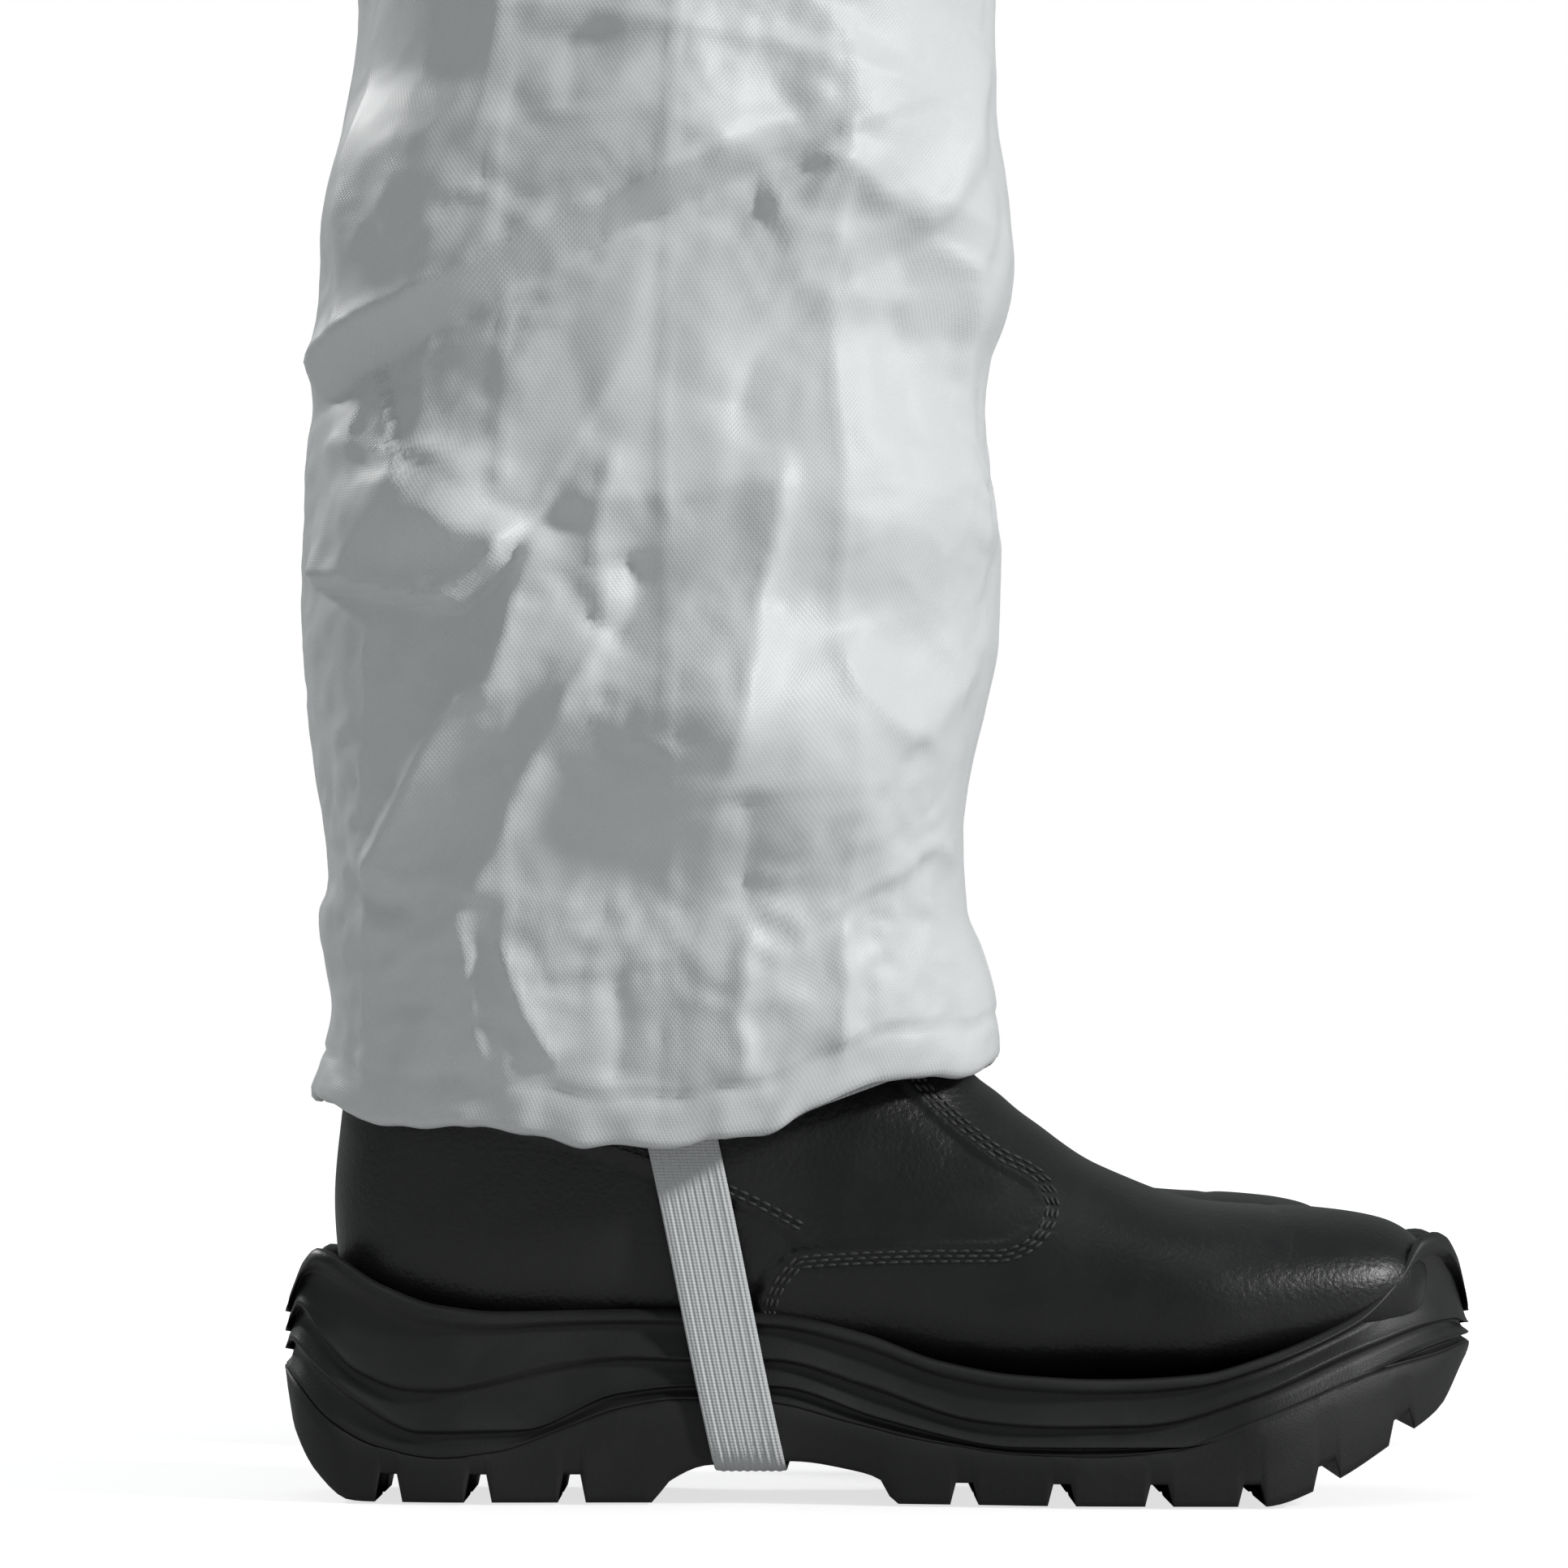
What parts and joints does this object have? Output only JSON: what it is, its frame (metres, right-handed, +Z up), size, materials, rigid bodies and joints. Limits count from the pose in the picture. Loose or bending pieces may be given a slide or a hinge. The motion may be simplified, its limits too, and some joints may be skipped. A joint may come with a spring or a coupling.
{
  "type": "chemical protective suit",
  "caption": "Hooded one-piece protective coverall with zip, storm flap and elastic hems, standing in the safety boots that its stirrup straps pass under.",
  "frame": {"origin": "on the floor, in the middle of the figure's outline seen from above", "axes": "+X the way the toes point, +Y to the wearer's left, +Z up"},
  "size_m": [0.3418, 0.6996, 1.812],
  "materials": {
    "white_fabric": "matt laminated nonwoven with a fine embossed grain, crumpled",
    "elastic": "ribbed white knitted elastic",
    "zip_tape": "woven white tape",
    "zip_plastic": "moulded white nylon",
    "adhesive": "smooth release paper over adhesive",
    "black_leather": "satin black grained leather",
    "midsole_foam": "matt moulded black polyurethane",
    "tread_rubber": "matt black moulded rubber",
    "toe_steel": "pressed steel",
    "felt": "dark needle felt",
    "webbing": "black woven webbing"
  },
  "bodies": {
    "suit": {"lower_front_right": "white_fabric", "lower_front_left": "white_fabric", "seat_back": "white_fabric", "chest_front_right": "white_fabric", "chest_front_left": "white_fabric", "upper_back": "white_fabric", "waist_elastic": "elastic", "crotch_gusset": "white_fabric", "zip_tape_right": "zip_tape", "zip_tape_left": "zip_tape", "zip_coil_right": "zip_plastic", "zip_coil_left": "zip_plastic", "zip_bottom_stop": "zip_plastic", "right_thigh_front": "white_fabric", "right_thigh_back": "white_fabric", "left_thigh_front": "white_fabric", "left_thigh_back": "white_fabric"},
    "hood": {"hood_middle_panel": "white_fabric", "hood_side_right": "white_fabric", "hood_side_left": "white_fabric", "face_elastic": "elastic"},
    "flap": {"storm_flap": "white_fabric", "flap_adhesive_strip": "adhesive"},
    "slider": {"zip_slider": "zip_plastic"},
    "puller": {"zip_puller": "zip_plastic"},
    "right_arm": {"right_upper_sleeve": "white_fabric"},
    "right_forearm": {"right_forearm_sleeve": "white_fabric", "right_cuff_elastic": "elastic"},
    "right_lower_leg": {"right_shin_front": "white_fabric", "right_shin_back": "white_fabric", "right_ankle_elastic": "elastic", "right_stirrup_strap": "elastic", "right_boot_vamp": "black_leather", "right_boot_heel_quarter": "black_leather", "right_boot_ankle_shaft": "black_leather", "right_boot_toe_cap": "toe_steel", "right_boot_insole": "felt", "right_boot_midsole": "midsole_foam", "right_boot_outsole": "tread_rubber", "right_boot_pull_tab": "webbing"},
    "left_arm": {"left_upper_sleeve": "white_fabric"},
    "left_forearm": {"left_forearm_sleeve": "white_fabric", "left_cuff_elastic": "elastic"},
    "left_lower_leg": {"left_shin_front": "white_fabric", "left_shin_back": "white_fabric", "left_ankle_elastic": "elastic", "left_stirrup_strap": "elastic", "left_boot_vamp": "black_leather", "left_boot_heel_quarter": "black_leather", "left_boot_ankle_shaft": "black_leather", "left_boot_toe_cap": "toe_steel", "left_boot_insole": "felt", "left_boot_midsole": "midsole_foam", "left_boot_outsole": "tread_rubber", "left_boot_pull_tab": "webbing"}
  },
  "joints": [
    {"name": "zip_slide", "type": "slide", "parent": "suit", "child": "slider", "axis": [0, 0, 1], "range_m": [-0.64, 0]},
    {"name": "puller_swing", "type": "hinge", "parent": "slider", "child": "puller", "pos_m": [0.1009, 0, 1.536], "axis": [1, 0, 0], "range_deg": [-25, 25]},
    {"name": "flap_turn", "type": "hinge", "parent": "suit", "child": "flap", "pos_m": [0.0976, 0.03, 1.2], "axis": [0, 0, 1], "range_deg": [0, 110]},
    {"name": "hood_tip", "type": "hinge", "parent": "suit", "child": "hood", "pos_m": [-0.0921, 0, 1.562], "axis": [0, -1, 0], "range_deg": [0, 30]},
    {"name": "right_shoulder", "type": "hinge", "parent": "suit", "child": "right_arm", "pos_m": [-0.0361, -0.205, 1.375], "axis": [0, -1, 0], "range_deg": [-20, 70]},
    {"name": "right_elbow", "type": "hinge", "parent": "right_arm", "child": "right_forearm", "pos_m": [-0.0361, -0.29, 1.105], "axis": [0, -1, 0], "range_deg": [0, 70]},
    {"name": "right_knee", "type": "hinge", "parent": "suit", "child": "right_lower_leg", "pos_m": [-0.0561, -0.11, 0.505], "axis": [0, 1, 0], "range_deg": [0, 80]},
    {"name": "left_shoulder", "type": "hinge", "parent": "suit", "child": "left_arm", "pos_m": [-0.0361, 0.205, 1.375], "axis": [0, -1, 0], "range_deg": [-20, 70]},
    {"name": "left_elbow", "type": "hinge", "parent": "left_arm", "child": "left_forearm", "pos_m": [-0.0361, 0.29, 1.105], "axis": [0, -1, 0], "range_deg": [0, 70]},
    {"name": "left_knee", "type": "hinge", "parent": "suit", "child": "left_lower_leg", "pos_m": [-0.0561, 0.11, 0.505], "axis": [0, 1, 0], "range_deg": [0, 80]}
  ]
}
